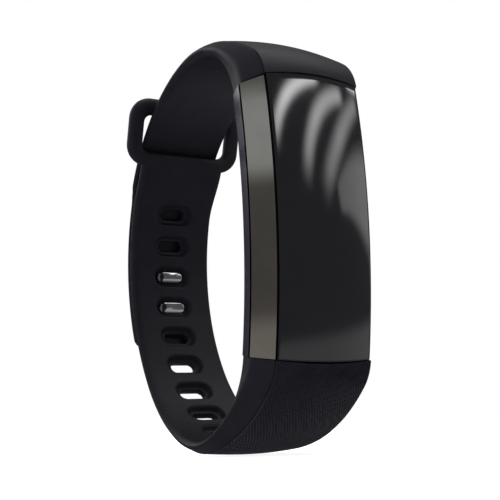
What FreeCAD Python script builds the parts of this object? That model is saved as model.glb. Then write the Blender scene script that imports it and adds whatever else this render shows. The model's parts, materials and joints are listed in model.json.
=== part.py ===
"""Fitness tracker band: a bowed display module between two soft straps, closed by a stud clasp.

Frame: X is the wrist's axis and the band's width, Y points from the display to the clasp, +Z is up.
The origin is the centre of the wrist opening. The module's curved pieces are sections in the XY
plane, turned about one axis parallel to X, so depth below the glass edge is measured along Y.
"""
import FreeCAD, Part

import math
import os

import Sketcher
from FreeCAD import Placement, Rotation, Vector

SIZES = {
    # module envelope
    "front_line": -29.0,        # y of the glass edges at mid height
    "bow_radius": 145.0,        # radius of the bowed front, about an axis parallel to X
    "module_half": 23.0,        # half the chord of the module's front
    "module_depth": 9.2,
    "rear_half": 9.7,           # half width at the wrist side
    "ridge_half": 11.2,         # half width at the ridge between trim and housing side
    "ridge_depth": 4.67,
    "end_gap": 0.06,            # free angle at each end of the glass, degrees
    # glass, seal and trims
    "glass_half": 8.95,
    "glass_edge": 0.95,         # thickness at the long edges
    "glass_crown": 1.0,         # rise of the front across the width
    "glass_end": 22.85,         # z of the glass corners
    "glass_bow": 0.45,          # how far the ends bow outward between the corners
    "seal_half": 8.90,
    "seat_depth": 1.15,         # depth of the land that the glass is glued to
    "land_half": 8.97,
    "trim_inner": 9.04,         # beside the glass, which stands proud of the trims
    "trim_top": 0.65,
    "trim_depth": 4.62,
    "trim_foot": 10.72,
    "trim_step": 1.75,
    "trim_gap": 0.50,           # dark line between a trim and the housing's side
    # housing cavities, half widths and depths
    "window_half": 7.85,
    "window_depth": 2.75,
    "cavity_half": 8.20,
    "cavity_depth": 3.35,
    "cavity_angle": 7.6,        # half angle of the cavities seen from the bow axis
    "cover_half": 8.90,
    "cover_depth": 8.05,
    "cover_angle": 9.0,
    "tongue_half": 6.0,
    "tongue_front": 5.05,
    "tongue_rear": 5.90,
    "case_screw_x": 4.4,
    "case_screw_z": 20.1,
    "case_screw_radius": 0.60,
    "case_screw_head": 1.00,
    # electronics, on flat boards
    "panel_width": 14.0,
    "panel_height": 26.0,
    "panel_thick": 0.90,
    "board_width": 15.4,
    "board_height": 36.4,
    "board_thick": 0.60,
    "board_front": -24.40,      # y of the main board's front face
    "battery_width": 14.6,
    "battery_height": 17.0,
    "battery_thick": 2.55,
    "battery_z": 9.5,
    "shield_width": 11.0,
    "shield_height": 11.5,
    "shield_thick": 0.85,
    "shield_wall": 0.15,
    "contact_z": 13.0,
    "contact_x": 3.4,
    "sensor_z": -5.4,
    "sensor_width": 10.4,
    "sensor_height": 8.6,
    "window_width": 8.4,
    "window_height": 6.4,
    "window_thick": 1.55,
    # vibration motor, a coin with its axis along Y
    "motor_z": -14.2,
    "motor_radius": 3.9,
    "motor_height": 2.6,
    "motor_shaft": 0.40,
    "motor_fit": 0.03,
    # straps
    "strap_back": 2.25,         # thickness of the hole strap round the wrist
    "strap_top": 2.60,          # thickness of the stud strap over the wrist
    "tail_thick": 1.70,
    "tail_gap": 0.30,           # between tail and hole strap
    "slot_first": 197.1,        # heading of the first slot, beside the ring
    "slot_pitch": 6.1,
    "slot_count": 9,
    "recess_half": 3.65,
    "recess_height": 3.7,
    "recess_depth": 1.05,
    "slot_half": 2.40,
    "slot_height": 2.05,
    "ring_half": 12.1,
    "ring_open_half": 9.2,
    "ring_thick": 2.4,
    "ring_height": 13.0,
    "ring_bar": 2.75,           # height of the lower bar
    "ring_open": 7.0,           # height of the opening
    "ring_lean": 14.0,
    "ring_base_y": 17.8,
    "ring_base_z": 17.6,
    # clasp
    "stud_half": 2.15,
    "stud_height": 1.35,
    "stud_reach": 2.35,
    "rivet_plate_half": 3.6,
    "rivet_plate_thick": 0.45,
}

doc = FreeCAD.newDocument("fitness_band")
sheet = doc.addObject("Spreadsheet::Sheet", "Sizes")
for row, (alias, value) in enumerate(SIZES.items(), start=1):
    sheet.set(f"A{row}", alias)
    sheet.set(f"B{row}", str(value))
    sheet.setAlias(f"B{row}", alias)
doc.recompute()

nodes = {}


def size(alias):
    """A driving dimension as the sheet holds it."""
    return float(sheet.get(alias))


def keep(node, obj):
    """Registers an object as the sub-part of that name."""
    obj.Label = node
    nodes[node] = obj
    return obj


def number(expression):
    """The value of a sheet expression."""
    found = sheet.evalExpression(expression)
    return float(getattr(found, "Value", found))


def depth(expression):
    """The y of a depth below the glass edge, as an expression."""
    return f"Sizes.front_line + {expression}"


# ---------------------------------------------------------------- sketches and features

def new_body(name):
    return doc.addObject("PartDesign::Body", name)


def plane_of(body, role):
    return next(plane for plane in body.Origin.OriginFeatures if plane.Role == role)


def new_sketch(body, name, role, offset=0.0):
    sketch = body.newObject("Sketcher::SketchObject", name)
    sketch.AttachmentSupport = [(plane_of(body, role), "")]
    sketch.MapMode = "FlatFace"
    sketch.AttachmentOffset = Placement(Vector(0, 0, offset), Rotation())
    return sketch


def pin_point(sketch, geometry, point, corner):
    """Holds a sketch point at sheet-driven coordinates, signed along each axis."""
    for axis, expression in zip(("DistanceX", "DistanceY"), corner):
        value = number(expression)
        index = sketch.addConstraint(Sketcher.Constraint(axis, -1, 1, geometry, point, value))
        sketch.setExpression(f"Constraints[{index}]", expression)


def add_outline(sketch, corners):
    """A closed outline of straight lines, every corner bound to the sheet."""
    points = [Vector(number(x), number(y), 0) for x, y in corners]
    lines = []
    for start, end in zip(points, points[1:] + points[:1]):
        lines.append(sketch.addGeometry(Part.LineSegment(start, end), False))
    for line, following in zip(lines, lines[1:] + lines[:1]):
        sketch.addConstraint(Sketcher.Constraint("Coincident", line, 2, following, 1))
    for line, corner in zip(lines, corners):
        pin_point(sketch, line, 1, corner)
    return lines


def add_crowned_outline(sketch, half, top, bottom, crown):
    """A section with a flat back, straight ends and a crowned front, as the glass has."""
    radius = f"(({half})^2 + ({crown})^2) / (2 * ({crown}))"
    w, t, b, c, r = (number(e) for e in (half, top, bottom, crown, radius))
    span = math.asin(w / r)
    centre = Vector(0, t - c + r, 0)
    circle = Part.Circle(centre, Vector(0, 0, 1), r)
    arc = sketch.addGeometry(Part.ArcOfCircle(circle, -math.pi / 2 - span, -math.pi / 2 + span), False)
    right = sketch.addGeometry(Part.LineSegment(Vector(w, t, 0), Vector(w, b, 0)), False)
    back = sketch.addGeometry(Part.LineSegment(Vector(w, b, 0), Vector(-w, b, 0)), False)
    left = sketch.addGeometry(Part.LineSegment(Vector(-w, b, 0), Vector(-w, t, 0)), False)
    for first, end, second, start in ((arc, 2, right, 1), (right, 2, back, 1), (back, 2, left, 1),
                                      (left, 2, arc, 1)):
        sketch.addConstraint(Sketcher.Constraint("Coincident", first, end, second, start))
    pin_point(sketch, right, 1, (half, top))
    pin_point(sketch, back, 1, (half, bottom))
    pin_point(sketch, left, 1, (f"-({half})", bottom))
    pin_point(sketch, arc, 1, (f"-({half})", top))
    index = sketch.addConstraint(Sketcher.Constraint("Radius", arc, r))
    sketch.setExpression(f"Constraints[{index}]", radius)


def add_turning_axis(sketch):
    """The construction line that the module's sections turn about."""
    y = number(depth("Sizes.bow_radius"))
    line = sketch.addGeometry(Part.LineSegment(Vector(0, y, 0), Vector(10, y, 0)), True)
    pin_point(sketch, line, 1, ("0 * Sizes.bow_radius", depth("Sizes.bow_radius")))
    sketch.addConstraint(Sketcher.Constraint("Horizontal", line))
    sketch.addConstraint(Sketcher.Constraint("Distance", line, 10))


def turned(body, name, kind, sketch, half_angle):
    """Turns a section about the bow axis, half_angle either way from mid height."""
    add_turning_axis(sketch)
    feature = body.newObject(f"PartDesign::{kind}", name)
    feature.Profile = sketch
    feature.ReferenceAxis = (sketch, ["Axis0"])
    feature.Midplane = True
    feature.setExpression("Angle", f"2 * ({half_angle})")
    body.Tip = feature
    return feature


def rectangle(half, front, rear):
    """Corners of a section symmetric about X = 0 between two depths."""
    return [(f"-({half})", depth(front)), (half, depth(front)), (half, depth(rear)),
            (f"-({half})", depth(rear))]


def section_sketch(body, name, corners):
    sketch = new_sketch(body, name, "XY_Plane")
    add_outline(sketch, corners)
    return sketch


FULL_ANGLE = "asin(Sizes.module_half / Sizes.bow_radius)"
GLASS_ANGLE = f"{FULL_ANGLE} - 1deg * Sizes.end_gap"
CAVITY_ANGLE = "1deg * Sizes.cavity_angle"
REAR_RADIUS = "(Sizes.bow_radius - Sizes.module_depth)"
# depth of the bowed wrist side where the case screws and the charging contacts sit
SCREW_FACE = f"Sizes.bow_radius - sqrt({REAR_RADIUS}^2 - Sizes.case_screw_z^2)"
CONTACT_FACE = f"Sizes.bow_radius - sqrt({REAR_RADIUS}^2 - Sizes.contact_z^2)"


def bowed_plate(name, half, front, rear, half_angle):
    """A plate of rectangular section that follows the module's bow."""
    body = new_body(name)
    turned(body, name + "_turn", "Revolution",
           section_sketch(body, name + "_section", rectangle(half, front, rear)), half_angle)
    return body


def groove(body, name, half, front, rear, half_angle):
    """Cuts a bowed channel of rectangular section."""
    sketch = section_sketch(body, name + "_section", rectangle(half, front, rear))
    return turned(body, name, "Groove", sketch, half_angle)


def y_pocket(body, name, draw):
    """Cuts right through along Y whatever the function draws in the XZ plane."""
    sketch = new_sketch(body, name + "_outline", "XZ_Plane")
    draw(sketch)
    pocket = body.newObject("PartDesign::Pocket", name)
    pocket.Profile = sketch
    pocket.Type = "ThroughAll"
    pocket.SideType = "Symmetric"
    body.Tip = pocket
    return pocket


def block(name, width, thick, height, x="0", front="0", z="0"):
    """A box centred on x and z, its front face at y = front; all are sheet expressions."""
    box = doc.addObject("Part::Box", name)
    for prop, expression in (("Length", width), ("Width", thick), ("Height", height)):
        box.setExpression(prop, expression)
    box.setExpression("Placement.Base.x", f"({x}) - ({width}) / 2")
    box.setExpression("Placement.Base.y", front)
    box.setExpression("Placement.Base.z", f"({z}) - ({height}) / 2")
    return box


def y_rod(name, radius, length, x="0", front="0", z="0"):
    """A cylinder along +Y from y = front; all are sheet expressions."""
    rod = doc.addObject("Part::Cylinder", name)
    rod.setExpression("Radius", radius)
    rod.setExpression("Height", length)
    rod.Placement = Placement(Vector(), Rotation(Vector(1, 0, 0), -90))
    for axis, expression in (("x", x), ("y", front), ("z", z)):
        rod.setExpression(f"Placement.Base.{axis}", expression)
    return rod


def boolean(kind, name, *parts):
    """A Part boolean: Cut takes a base and a tool, MultiFuse and Compound take any number."""
    obj = doc.addObject(f"Part::{kind}", name)
    if kind in ("Cut", "Common"):
        obj.Base, obj.Tool = parts
    elif kind == "Compound":
        obj.Links = list(parts)
    else:
        obj.Shapes = list(parts)
    return obj


def rounded(name, base, radius, along):
    """Fillets the edges of a box that run along one axis."""
    doc.recompute()
    fillet = doc.addObject("Part::Fillet", name)
    fillet.Base = base
    edges = []
    for index, edge in enumerate(base.Shape.Edges, start=1):
        direction = edge.Vertexes[-1].Point - edge.Vertexes[0].Point
        if direction.Length > 1e-6 and abs(direction.normalize().dot(along)) > 0.999:
            edges.append((index, radius, radius))
    fillet.Edges = edges
    return fillet


# ---------------------------------------------------------------- display side of the module

def make_glass():
    body = new_body("display_glass_body")
    sketch = new_sketch(body, "glass_section", "XY_Plane")
    add_crowned_outline(sketch, "Sizes.glass_half", depth("0.05"), depth("Sizes.glass_edge"),
                        "Sizes.glass_crown")
    turned(body, "glass_turn", "Revolution", sketch, f"{FULL_ANGLE} + 1deg")
    ends = [bowed_end("glass_end_" + end, sign, "0") for end, sign in (("upper", 1), ("lower", -1))]
    keep("display_glass", boolean("MultiCommon", "display_glass_trimmed", body, *ends))


def bowed_end(name, sign, clearance):
    """The large cylinder that limits the glass at its upper or lower end."""
    radius = "((Sizes.glass_half^2 + Sizes.glass_bow^2) / (2 * Sizes.glass_bow))"
    centre = f"{sign} * (Sizes.glass_end + Sizes.glass_bow - {radius})"
    return y_rod(name, f"{radius} + {clearance}", "6", front=depth("-2"), z=centre)


def glass_notch(name, sign):
    """What a strap's end leaves free for the bowed end of the glass."""
    pocket = block(name + "_pocket", "2 * (Sizes.glass_half + 0.03)", "3.85", "50", front=depth("-1"))
    return boolean("Common", name, pocket, bowed_end(name + "_limit", sign, "0.06"))


def make_seal():
    """Black adhesive frame: a flat ring under the glass."""
    body = new_body("display_seal_body")
    top = depth("Sizes.glass_edge + 0.02")
    under = depth("Sizes.seat_depth - 0.02")
    corners = [("-Sizes.seal_half", top), ("Sizes.seal_half", top),
               ("Sizes.seal_half", under), ("-Sizes.seal_half", under)]
    turned(body, "seal_turn", "Revolution", section_sketch(body, "seal_section", corners), GLASS_ANGLE)
    groove(body, "seal_window", "Sizes.window_half + 0.05", "0.5", "2", CAVITY_ANGLE)
    keep("display_seal", body)


def make_housing():
    body = new_body("housing_body")
    right = [("Sizes.land_half", depth("Sizes.seat_depth")),
             ("Sizes.land_half", depth("Sizes.trim_step + 0.05")),
             ("Sizes.trim_foot - 0.04", depth("Sizes.trim_depth + 0.03")),
             ("Sizes.trim_foot - 0.04", depth("Sizes.ridge_depth + Sizes.trim_gap")),
             ("Sizes.ridge_half - 0.06", depth("Sizes.ridge_depth + Sizes.trim_gap")),
             ("Sizes.rear_half", depth("Sizes.module_depth"))]
    left = [(f"-({x})", y) for x, y in reversed(right)]
    turned(body, "housing_turn", "Revolution", section_sketch(body, "housing_section", right + left),
           FULL_ANGLE)
    groove(body, "display_recess", "Sizes.window_half", "0.5", "Sizes.window_depth", CAVITY_ANGLE)
    groove(body, "rear_cavity", "Sizes.cavity_half", "Sizes.cavity_depth", "Sizes.module_depth + 1",
           CAVITY_ANGLE)
    groove(body, "cover_rebate", "Sizes.cover_half + 0.05", "Sizes.cover_depth",
           "Sizes.module_depth + 1", "1deg * Sizes.cover_angle + 0.03deg")
    groove(body, "tongue_slots", "Sizes.tongue_half + 0.05", "Sizes.tongue_front - 0.03",
           "Sizes.tongue_rear + 0.03", f"{FULL_ANGLE} + 0.2deg")

    def flex_slot(sketch):
        add_outline(sketch, [("-4.2 + 0 * Sizes.board_width", "-15.2 + 0 * Sizes.board_width"),
                             ("4.2 + 0 * Sizes.board_width", "-15.2 + 0 * Sizes.board_width"),
                             ("4.2 + 0 * Sizes.board_width", "-14.0 + 0 * Sizes.board_width"),
                             ("-4.2 + 0 * Sizes.board_width", "-14.0 + 0 * Sizes.board_width")])

    y_pocket(body, "flex_slot", flex_slot)
    rods = screw_rods("housing_hole", "Sizes.case_screw_radius")
    holes = boolean("Compound", "housing_screw_holes", *rods)
    keep("housing", boolean("Cut", "housing_cut", body, holes))


def screw_places():
    """The four corners of the case screws, as expressions for x and z."""
    return [(f"{sx} * Sizes.case_screw_x", f"{sz} * Sizes.case_screw_z")
            for sx in (-1, 1) for sz in (-1, 1)]


def screw_rods(name, radius, front="Sizes.front_line + 4.3", length="8"):
    """A rod at each case screw, to cut or to fill its hole."""
    return [y_rod(f"{name}_{index}", radius, length, x, front, z)
            for index, (x, z) in enumerate(screw_places())]


def make_trims():
    corners = [("Sizes.trim_inner", depth("Sizes.trim_top")),
               ("Sizes.ridge_half", depth("Sizes.trim_depth")),
               ("Sizes.trim_foot", depth("Sizes.trim_depth")),
               ("Sizes.trim_inner", depth("Sizes.trim_step"))]
    for side, sign in (("right", "1"), ("left", "-1")):
        body = new_body(f"side_trim_{side}_body")
        sketch = section_sketch(body, f"trim_section_{side}", [(f"{sign} * {x}", y) for x, y in corners])
        turned(body, f"trim_turn_{side}", "Revolution", sketch, GLASS_ANGLE)
        keep(f"side_trim_{side}", body)


def make_display_stack():
    panel_front = depth("1.80")
    panel = block("display_panel_box", "Sizes.panel_width", "Sizes.panel_thick", "Sizes.panel_height",
                  front=panel_front)
    keep("display_panel", panel)
    touch = new_body("touch_pad_body")
    sketch = section_sketch(touch, "touch_section",
                            rectangle("3 + 0 * Sizes.panel_width", "Sizes.glass_edge + 0.02",
                                      "Sizes.glass_edge + 0.14"))
    turned(touch, "touch_turn", "Revolution", sketch, "0.55deg")
    bow_axis = Vector(0, number(depth("Sizes.bow_radius")), 0)
    touch.Placement = Placement(Vector(), Rotation(Vector(1, 0, 0), 6.9), bow_axis)
    keep("touch_electrode", touch)
    tab = block("display_flex_tab", "8", "0.12", "1.1", front=depth("2.72"), z="-13.4")
    web = block("display_flex_web", "8", "Sizes.board_front - Sizes.front_line - 2.6", "0.12",
                front=depth("2.6"), z="-14.0 - 0.35")
    heel = block("display_flex_heel", "8", "0.12", "0.6", front=depth("2.6"), z="-14.11")
    keep("display_flex", boolean("MultiFuse", "display_flex_fuse", tab, web, heel))


# ---------------------------------------------------------------- electronics

def make_boards():
    board = block("main_board_box", "Sizes.board_width", "Sizes.board_thick", "Sizes.board_height",
                  front="Sizes.board_front")
    keep("main_board", rounded("main_board_round", board, 1.2, Vector(0, 1, 0)))
    shell = block("shield_outer", "Sizes.shield_width", "Sizes.shield_thick", "Sizes.shield_height",
                  front="Sizes.board_front - Sizes.shield_thick")
    inner = block("shield_inner", "Sizes.shield_width - 2 * Sizes.shield_wall", "Sizes.shield_thick",
                  "Sizes.shield_height - 2 * Sizes.shield_wall",
                  front="Sizes.board_front - Sizes.shield_thick + Sizes.shield_wall")
    keep("shield_can", boolean("Cut", "shield_cut", shell, inner))
    keep("processor", block("processor_box", "5", "0.6", "5", x="-2", front="Sizes.board_front - 0.6",
                            z="1.8"))
    keep("memory_chip", block("memory_box", "4", "0.5", "3", x="2.6", front="Sizes.board_front - 0.5",
                              z="-2.9"))
    keep("motion_sensor", block("motion_box", "2.5", "0.7", "2.5", x="2.4",
                                front="Sizes.board_front - 0.7", z="9.0"))
    keep("radio_antenna", block("antenna_box", "7", "0.4", "2", front="Sizes.board_front - 0.4",
                                z="12.8"))
    battery = block("battery_box", "Sizes.battery_width", "Sizes.battery_thick", "Sizes.battery_height",
                    front="Sizes.board_front + Sizes.board_thick + 0.05", z="Sizes.battery_z")
    keep("battery", rounded("battery_round", battery, 0.9, Vector(0, 0, 1)))
    tabs = [block(f"battery_tab_{index}", "1.8", "0.15", "1.6", x=x,
                  front="Sizes.board_front + Sizes.board_thick + 0.02",
                  z="Sizes.battery_z - Sizes.battery_height / 2 - 0.82")
            for index, x in enumerate(("-6.4", "6.4"))]
    keep("battery_tabs", boolean("Compound", "battery_tabs_pair", *tabs))


def make_heart_sensor():
    board_front = "Sizes.front_line + 6.05"
    keep("sensor_board", block("sensor_board_box", "Sizes.sensor_width", "0.5", "Sizes.sensor_height - 0.4",
                               front=board_front, z="Sizes.sensor_z"))
    link_front = "Sizes.board_front + Sizes.board_thick"
    keep("board_connector", block("connector_box", "6", f"{board_front} - ({link_front})", "2",
                                  front=link_front, z="Sizes.sensor_z"))
    part_front = f"{board_front} + 0.5"
    leds = [block(f"led_{index}", "1.4", "0.6", "1.2", x="2.3", front=part_front, z=z)
            for index, z in enumerate(("Sizes.sensor_z - 1.2", "Sizes.sensor_z + 1.2"))]
    keep("sensor_leds", boolean("Compound", "sensor_led_pair", *leds))
    keep("photodiode", block("photodiode_box", "2.6", "0.5", "2.6", x="-2.0", front=part_front,
                             z="Sizes.sensor_z"))
    keep("light_barrier", block("light_barrier_box", "0.5", "1.0", "5.0", x="0.4", front=part_front,
                                z="Sizes.sensor_z"))
    window = block("sensor_window_box", "Sizes.window_width", "Sizes.window_thick",
                   "Sizes.window_height", front=depth("Sizes.module_depth - Sizes.window_thick + 0.35"),
                   z="Sizes.sensor_z")
    keep("sensor_window", rounded("sensor_window_round", window, 2.6, Vector(0, 1, 0)))


def make_motor():
    """Coin motor: base plate, fixed shaft, ring magnet, and an eccentric rotor inside a can."""
    base_front = "Sizes.board_front + Sizes.board_thick + 0.05"
    keep("motor_base", y_rod("motor_base_rod", "Sizes.motor_radius", "0.3", front=base_front,
                             z="Sizes.motor_z"))
    can = y_rod("motor_can_outer", "Sizes.motor_radius", "Sizes.motor_height - 0.3",
                front=f"{base_front} + 0.3", z="Sizes.motor_z")
    inside = y_rod("motor_can_inner", "Sizes.motor_radius - 0.2", "Sizes.motor_height - 0.5",
                   front=f"{base_front} + 0.3", z="Sizes.motor_z")
    keep("motor_can", boolean("Cut", "motor_can_cut", can, inside))
    keep("motor_shaft", y_rod("motor_shaft_rod", "Sizes.motor_shaft", "Sizes.motor_height - 0.5",
                              front=f"{base_front} + 0.3", z="Sizes.motor_z"))
    magnet = y_rod("motor_magnet_disc", "2.6", "0.5", front=f"{base_front} + 0.3", z="Sizes.motor_z")
    bore = y_rod("motor_magnet_bore", "0.8", "0.5", front=f"{base_front} + 0.3", z="Sizes.motor_z")
    keep("motor_magnet", boolean("Cut", "motor_magnet_ring", magnet, bore))
    rotor_front = f"{base_front} + 1.0"
    disc = y_rod("motor_rotor_disc", "Sizes.motor_radius - 0.45", "0.9", front=rotor_front,
                 z="Sizes.motor_z")
    half_disc = block("motor_rotor_trim", "2 * Sizes.motor_radius", "0.9", "Sizes.motor_radius",
                      front=rotor_front, z="Sizes.motor_z + Sizes.motor_radius / 2 + 0.9")
    weight = boolean("Cut", "motor_rotor_half", disc, half_disc)
    shaft_hole = y_rod("motor_rotor_bore", "Sizes.motor_shaft + Sizes.motor_fit", "0.9",
                       front=rotor_front, z="Sizes.motor_z")
    keep("motor_rotor", boolean("Cut", "motor_rotor_cut", weight, shaft_hole))


# ---------------------------------------------------------------- wrist side of the module

def make_back_cover():
    cover = bowed_plate("back_cover_body", "Sizes.cover_half", "Sizes.cover_depth + 0.22",
                        "Sizes.module_depth", "1deg * Sizes.cover_angle")
    window = block("cover_window_box", "Sizes.window_width + 0.1", "6", "Sizes.window_height + 0.1",
                   front=depth("5"), z="Sizes.sensor_z")
    window_hole = rounded("cover_window_hole", window, 2.65, Vector(0, 1, 0))
    pads = contact_rods("cover_pad_hole", "1.25", "4", depth("6.5"))
    shanks = screw_rods("cover_shank_hole", "Sizes.case_screw_radius + 0.1")
    heads = screw_rods("cover_head_hole", "Sizes.case_screw_head + 0.1",
                       depth(f"{SCREW_FACE} - 0.62"), "3")
    tools = boolean("Compound", "cover_holes", window_hole, *pads)
    screws = boolean("MultiFuse", "cover_screw_holes", *shanks, *heads)
    drilled = boolean("Cut", "back_cover_drilled", cover, tools)
    keep("back_cover", boolean("Cut", "back_cover_cut", drilled, screws))

    seal = bowed_plate("cover_seal_body", "Sizes.cover_half", "Sizes.cover_depth + 0.02",
                       "Sizes.cover_depth + 0.20", "1deg * Sizes.cover_angle")
    groove(seal, "cover_seal_window", "Sizes.cavity_half + 0.1", "7", "10", f"{CAVITY_ANGLE} + 0.1deg")
    holes = boolean("Compound", "cover_seal_holes",
                    *screw_rods("seal_shank_hole", "Sizes.case_screw_radius + 0.1"))
    keep("cover_seal", boolean("Cut", "cover_seal_cut", seal, holes))

    pads = contact_rods("charging_pad", "1.2", "1.2", depth(f"{CONTACT_FACE} - 1.17"))
    keep("charging_contacts", boolean("Compound", "charging_contact_pair", *pads))
    screws = []
    shank_front = depth("5.2")
    head_front = depth(f"{SCREW_FACE} - 0.60")
    places = screw_places()
    shanks = screw_rods("case_shank", "Sizes.case_screw_radius - 0.03", shank_front,
                        f"{SCREW_FACE} - 0.60 - 5.2")
    heads = screw_rods("case_head", "Sizes.case_screw_head", head_front, "0.45")
    for index in range(len(places)):
        drive = y_rod(f"case_drive_{index}", "0.45", "0.3", places[index][0],
                      f"{head_front} + 0.2", places[index][1])
        whole = boolean("MultiFuse", f"case_screw_whole_{index}", shanks[index], heads[index])
        screws.append(boolean("Cut", f"case_screw_{index}", whole, drive))
    keep("case_screws", boolean("Compound", "case_screw_set", *screws))


def contact_rods(name, radius, length, front):
    """A rod at each of the two charging contacts."""
    return [y_rod(f"{name}_{index}", radius, length, x, front, "Sizes.contact_z")
            for index, x in enumerate(("-Sizes.contact_x", "Sizes.contact_x"))]


def make_strap_inserts():
    """Steel tongue moulded into each strap's end; it slides into the housing's end wall."""
    bow_axis = Vector(0, number(depth("Sizes.bow_radius")), 0)
    for end, turn in (("lower", 9.2), ("upper", -9.2)):
        tongue = bowed_plate(f"strap_insert_{end}_body", "Sizes.tongue_half", "Sizes.tongue_front",
                             "Sizes.tongue_rear", "1.45deg")
        tongue.Placement = Placement(Vector(), Rotation(Vector(1, 0, 0), turn), bow_axis)
        holes = boolean("Compound", f"strap_insert_{end}_holes",
                        *screw_rods(f"insert_{end}_hole", "Sizes.case_screw_radius + 0.1"))
        keep(f"strap_insert_{end}", boolean("Cut", f"strap_insert_{end}_cut", tongue, holes))


# ---------------------------------------------------------------- strap side view

HEADING_START = math.asin(size("module_half") / size("bow_radius"))
# Arcs of the straps' outer surfaces as radius and turn in degrees, from the module round the wrist.
# A heading is the angle from straight down (from straight up on the upper strap) towards the clasp.
LOWER_ARCS = [(7.8, 34.4), (32.6, 42.2), (21.2, 30.5), (29.5, 32.1), (41.0, 64.4)]
UPPER_ARCS = [(7.2, 49.0), (39.8, 26.1), (24.1, 18.7)]


def polar(centre, radius, heading):
    """The point of a circle whose surface runs at that heading, as (y, z)."""
    return (centre[0] - radius * math.cos(heading), centre[1] - radius * math.sin(heading))


def arc_path(start, heading, arcs):
    """Tangent arcs from a start point, as (centre, radius, first heading, last heading)."""
    path = []
    for radius, turn in arcs:
        centre = (start[0] + radius * math.cos(heading), start[1] + radius * math.sin(heading))
        last = heading + math.radians(turn)
        path.append((centre, radius, heading, last))
        start = polar(centre, radius, last)
        heading = last
    return path


def joining_arc(start, heading, centre, radius):
    """The arc that leaves start at a heading and ends tangent to a larger circle round it."""
    dy, dz = start[0] - centre[0], start[1] - centre[1]
    along = dy * math.cos(heading) + dz * math.sin(heading)
    own = (radius ** 2 - dy ** 2 - dz ** 2) / (2 * (along + radius))
    own_centre = (start[0] + own * math.cos(heading), start[1] + own * math.sin(heading))
    last = math.atan2(centre[1] - own_centre[1], centre[0] - own_centre[0])
    return own_centre, own, heading, last


def inner_path(start, outer, first_kept, thickness):
    """The inner surface: one lead-in arc, then the outer arcs from first_kept moved in by thickness."""
    lead = joining_arc(start, HEADING_START, outer[first_kept][0], outer[first_kept][1] - thickness)
    path = [lead]
    for centre, radius, _first, last in outer[first_kept:]:
        path.append((centre, radius - thickness, path[-1][3], last))
    return path


def surface_point(path, heading):
    """The point of a path at a heading."""
    for centre, radius, _first, last in path:
        if heading <= last:
            return polar(centre, radius, heading)
    return polar(path[-1][0], path[-1][1], heading)


def reach(path, point, heading):
    """How far the path lies from a point, outward square to the heading."""
    direction = (-math.cos(heading), -math.sin(heading))
    for centre, radius, first, last in path:
        dy, dz = point[0] - centre[0], point[1] - centre[1]
        along = dy * direction[0] + dz * direction[1]
        root = along ** 2 - dy ** 2 - dz ** 2 + radius ** 2
        if root < 0:
            continue
        distance = -along + math.sqrt(root)
        hit = (dy + distance * direction[0], dz + distance * direction[1])
        at = math.atan2(-hit[1], -hit[0]) % (2 * math.pi)
        if first - 1e-4 <= at and (at <= last + 1e-4 or radius == path[-1][1]):
            return distance
    raise ValueError(f"no outer surface at heading {math.degrees(heading):.1f}")


def eased(heading, first, last, start, end):
    """Goes smoothly from start to end between two headings in degrees."""
    part = min(max((math.degrees(heading) - first) / (last - first), 0.0), 1.0)
    return start + (end - start) * (1 - math.cos(math.pi * part)) / 2


def section_wire(inner, direction, thick, halves, ridge, crown, flip):
    """One cross-section: crowned outer field, chamfers down to the ridge, narrower wrist side."""
    field, widest, wrist = halves

    def at(x, rise):
        y = inner[0] + direction[0] * rise
        z = inner[1] + direction[1] * rise
        return Vector(x, y, -z if flip else z)

    crest = Part.Arc(at(-field, thick), at(0, thick + crown), at(field, thick)).toShape()
    corners = [at(field, thick), at(widest, thick - ridge), at(wrist, 0), at(-wrist, 0),
               at(-widest, thick - ridge), at(-field, thick)]
    sides = [Part.makeLine(a, b) for a, b in zip(corners, corners[1:])]
    return Part.Wire([crest] + sides)


FRONT = size("front_line")
START_OUTER = (FRONT + size("bow_radius") * (1 - math.cos(HEADING_START)), -size("module_half"))
START_INNER = (START_OUTER[0] + size("module_depth") * math.cos(HEADING_START),
               START_OUTER[1] + size("module_depth") * math.sin(HEADING_START))
lower_outer = arc_path(START_OUTER, HEADING_START, LOWER_ARCS)
lower_inner = inner_path(START_INNER, lower_outer, 2, size("strap_back"))
WRAP_CENTRE, WRAP_RADIUS = lower_outer[-1][:2]
TAIL_RADIUS = WRAP_RADIUS + size("tail_gap") + size("tail_thick")
upper_outer = arc_path(START_OUTER, HEADING_START, UPPER_ARCS)
upper_outer.append(joining_arc(polar(*upper_outer[-1][:2], upper_outer[-1][3]), upper_outer[-1][3],
                               (WRAP_CENTRE[0], -WRAP_CENTRE[1]), TAIL_RADIUS))
upper_inner = inner_path(START_INNER, upper_outer, 1, size("strap_top"))
HINGE_ANGLE = math.pi - upper_outer[-1][3]   # where the tail begins, above +Y from the wrap centre


def soft_strap(name, outer, inner, headings, widths, flip, last_sections=()):
    """A strap lofted through cross-sections at the given headings of its inner surface."""
    wires = []
    for degrees in headings:
        heading = math.radians(degrees)
        point = surface_point(inner, heading)
        thick = reach(outer, point, heading)
        direction = (-math.cos(heading), -math.sin(heading))
        halves, ridge, crown, shave = widths(heading, thick)
        point = (point[0] + direction[0] * shave, point[1] + direction[1] * shave)
        thick -= shave
        wires.append(section_wire(point, direction, thick, halves, ridge, crown, flip))
    wires.extend(last_sections)
    solid = Part.makeLoft(wires, True, False)
    feature = doc.addObject("Part::Feature", name)
    feature.Shape = solid
    return feature


def lower_widths(heading, thick):
    field = eased(heading, 50, 135, 9.2, 7.3)
    widest = eased(heading, 60, 165, 11.15, 8.7)
    wrist = eased(heading, 60, 165, 9.7, 8.2)
    ridge = eased(heading, 9, 100, 4.55, 1.1)
    return (field, widest, wrist), ridge, eased(heading, 30, 130, 1.0, 0.02), 0.0


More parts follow.
